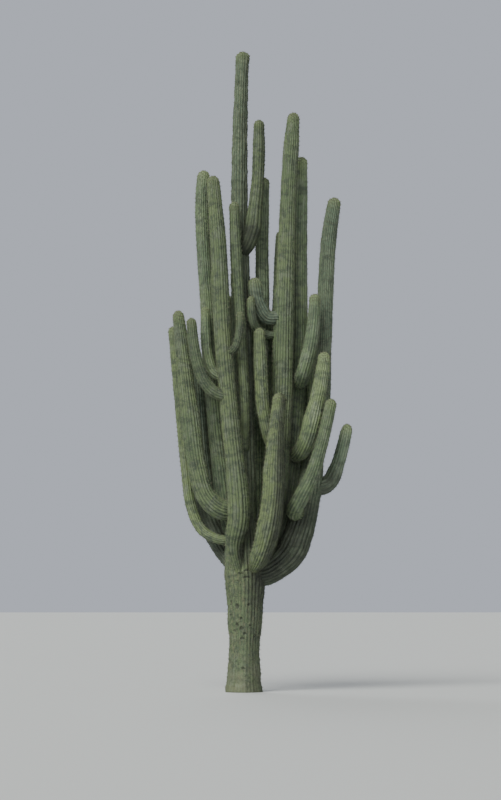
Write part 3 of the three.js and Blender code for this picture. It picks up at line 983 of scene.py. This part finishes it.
def skin_finish(name, corky):
    """Waxy green skin: seasons' bands, wavy bars, dark furrows (partly dirt, partly painted shade), straw
    crests with felt dots, painted shade on the right sides, round the fork and at the roots, each limb's
    lightness, and pecks.
    """
    look = Finish(name, SKIN_ROUGHNESS)
    crest = look.fact("crest")
    run = look.fact("run")
    height = look.add("SeparateXYZ", Vector=look.place).outputs["Z"]

    green = own_green(look)
    green = look.mix(look.span(look.noise_along(run, *BAND_NOISE), *BANDS), green, DEEP_GREEN)
    green = look.mix(look.pattern(*WAVY_BARS), green, DEEP_GREEN)

    wear = look.noise(*WEAR_NOISE)
    furrow = look.math("MULTIPLY", look.span(crest, *FURROWS), look.span(wear, *FURROWS_WORN))
    worn = look.math("MULTIPLY", look.span(crest, *CRESTS), look.span(wear, *CRESTS_WORN))
    if corky:
        ribbed = look.span(height, *RIBS_SHOW)
        furrow = look.math("MULTIPLY", furrow, ribbed)
        worn = look.math("MULTIPLY", worn, ribbed)
    green = look.mix(look.math("MULTIPLY", look.fact("young"), YOUNG_SHARE), green, YOUNG_GREEN)
    # Darker furrows: partly dirt, partly painted shade.
    green = look.mix(furrow, green, FURROW_GREEN)
    green = look.mix(worn, green, CREST_STRAW)

    dots = felt_dots(look, run, crest)
    green = look.mix(look.math("MULTIPLY", dots, DOT_SHARE), green, FELT_TAN)
    if corky:
        green = corky_coat(look, height, green)
    # Painted shade: darker right sides, fork and arm roots, in patches.
    dark = look.math("MULTIPLY", look.fact("shade"), look.pattern(*PAINTED_SHADE_PATCHES))
    green = look.mix(dark, green, PAINTED_SHADE_GREEN)
    green = look.mix(look.pattern(*PALE_PECKS), green, SCAR_RIM)
    # Each limb's lightness: partly its own green, partly painted light, raised on limbs that lie in shade and
    # lowered on some in full light.
    look.feed(look.shader.inputs["Base Color"], look.scaled(green, look.fact("light")))

    look.feed(look.shader.inputs["Roughness"], look.pattern(*ROUGH_PATCHES))
    look.shader.inputs["Specular IOR Level"].default_value = SKIN_SPECULAR
    relief = look.bump(look.noise(*WRINKLES[0]), *WRINKLES[1:])
    relief = look.bump(look.noise_along(run, *CREASES[0]), *CREASES[1:], relief)
    relief = look.bump(look.noise(*GRIT[0]), *GRIT[1:], relief)
    look.feed(look.shader.inputs["Normal"], look.bump(dots, *DOT_RELIEF, relief))
    return look.material


def plain_growth(name, colour, darker, roughness):
    """Spines or felt: one colour, a little uneven, darkened with the painted shade of the skin under them."""
    look = Finish(name, roughness)
    uneven = look.mix(look.pattern(*GROWTH_UNEVEN), colour, darker)
    dark = look.math("MULTIPLY", look.fact("shade"), GROWTH_PAINTED_SHADE)
    look.feed(look.shader.inputs["Base Color"], look.mix(dark, uneven, PAINTED_SHADE_GREY))
    return look.material


def floor_finish():
    look = Finish("floor_pale", roughness=0.9)
    look.shader.inputs["Base Color"].default_value = FLOOR_PALE
    return look.material


# ---------- camera, lights and floor ----------
EYE = (0.143, -50.0, 2.0)  # where the camera stands
TILT = 4.960  # degrees that it looks up
LENS = 103.28  # focal length and sensor height, in millimetres
SENSOR = 36.0
FARTHEST = 900  # that the camera sees

# Lights: bearing in degrees from the front, the left being negative, degrees above the ground, degrees across
# as a large soft box would be, colour and strength.
LIGHTS = {
    "key": (-25, 42, 36, (0.99, 1.0, 0.92), 3.25),
    "fill": (8, 6, 24, (1.0, 0.91, 1.05), 0.5),
    "back": (-160, 35, 40, (0.98, 1.0, 1.0), 1.0),
}
SKY = (0.80, 0.85, 0.96, 1.0)
SKY_STRENGTH = 0.24  # as a light
SKY_SHOWN = 0.6  # as the backdrop
FLOOR_SIDE = 600.0


def place_camera():
    """The camera, far in front of the plant and at the height of a photographer's eye."""
    data = bpy.data.cameras.new("camera")
    data.sensor_fit = "VERTICAL"
    data.sensor_height = SENSOR
    data.lens = LENS
    data.clip_end = FARTHEST
    camera = bpy.data.objects.new("camera", data)
    camera.location = EYE
    camera.rotation_euler = (math.pi / 2 + math.radians(TILT), 0, 0)
    bpy.context.scene.collection.objects.link(camera)
    bpy.context.scene.camera = camera


def place_light(name, bearing, height, spread, colour, strength):
    """A light from so far away that only its direction counts."""
    data = bpy.data.lights.new(name, "SUN")
    data.angle = math.radians(spread)
    data.energy = strength
    data.color = colour
    light = bpy.data.objects.new(name, data)
    light.rotation_euler = (math.pi / 2 - math.radians(height), 0, math.radians(bearing))
    bpy.context.scene.collection.objects.link(light)


def place_lights():
    """The lights, and a sky that the camera sees brighter than it lights the plant."""
    for name, (bearing, height, spread, colour, strength) in LIGHTS.items():
        place_light(name, bearing, height, spread, colour, strength)
    world = bpy.data.worlds.new("studio")
    world.use_nodes = True
    tree = world.node_tree
    background = tree.nodes["Background"]
    background.inputs["Color"].default_value = SKY
    shown = tree.nodes.new("ShaderNodeLightPath").outputs["Is Camera Ray"]
    brightness = tree.nodes.new("ShaderNodeMapRange")
    brightness.inputs["To Min"].default_value = SKY_STRENGTH
    brightness.inputs["To Max"].default_value = SKY_SHOWN
    tree.links.new(shown, brightness.inputs["Value"])
    tree.links.new(brightness.outputs["Result"], background.inputs["Strength"])
    bpy.context.scene.world = world


def place_floor():
    half = FLOOR_SIDE / 2
    corners = np.array([(-half, -half, 0), (half, -half, 0), (half, half, 0), (-half, half, 0)])
    whole = np.array([[0, 1, 2, 3]])
    floor = mesh_object("floor", corners, whole, NO_TRIANGLES, {}, [floor_finish()], False)


# ---------- the plant ----------
TRUNK = Limb("trunk", "trunk", TRUNK_RIBS, TRUNK_TONE, 1.0, TRUNK_SPINE, TRUNK_PROFILE)

place_camera()
place_lights()
place_floor()

trunk_skin = skin_finish("trunk_skin", corky=True)
arm_skin = skin_finish("arm_skin", corky=False)
spine_finish = plain_growth("spine_grey", SPINE_GREY, SPINE_TAN, roughness=0.6)
felt_finish = plain_growth("felt_tan", FELT_TAN, SPINE_TAN, roughness=0.95)

limbs = [grow(limb, LIMB_SEEDS * number) for number, limb in enumerate([TRUNK, *ARMS])]
spines, felt = {}, {}
for number, grown in enumerate(limbs):
    limb = grown["limb"]
    skin = skin_object(grown, trunk_skin if limb is TRUNK else arm_skin)
    names = [limb.name, limb.name + "_elbow", limb.name + "_shaft"]
    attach(skin, "root")
    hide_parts(*[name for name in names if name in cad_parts])
    rng = np.random.default_rng(SPINE_SEEDS + number)
    pads = clear_of([other for other in limbs if other is not grown], pads_on(grown, rng))
    foot, normal, along, young, dark = columns_of(pads)
    size = PAD_SIZE * (1 + PAD_YOUNG * young) * rng.uniform(*PAD_SIZES, len(pads))
    spines.setdefault(limb.zone, []).extend(spines_on(pads, rng) + [bristles_on_tip(grown, rng)])
    felt.setdefault(limb.zone, []).append(felt_pads(foot, normal, along, size, dark))

for kind, found, finish in (("spines", spines, spine_finish), ("felt", felt, felt_finish)):
    for zone, parts in found.items():
        points, triangles, dark = joined(parts)
        piece = mesh_object(f"{kind}_{zone}", points, NO_QUADS, triangles, {"shade": dark}, [finish], False)
        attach(piece, "root")
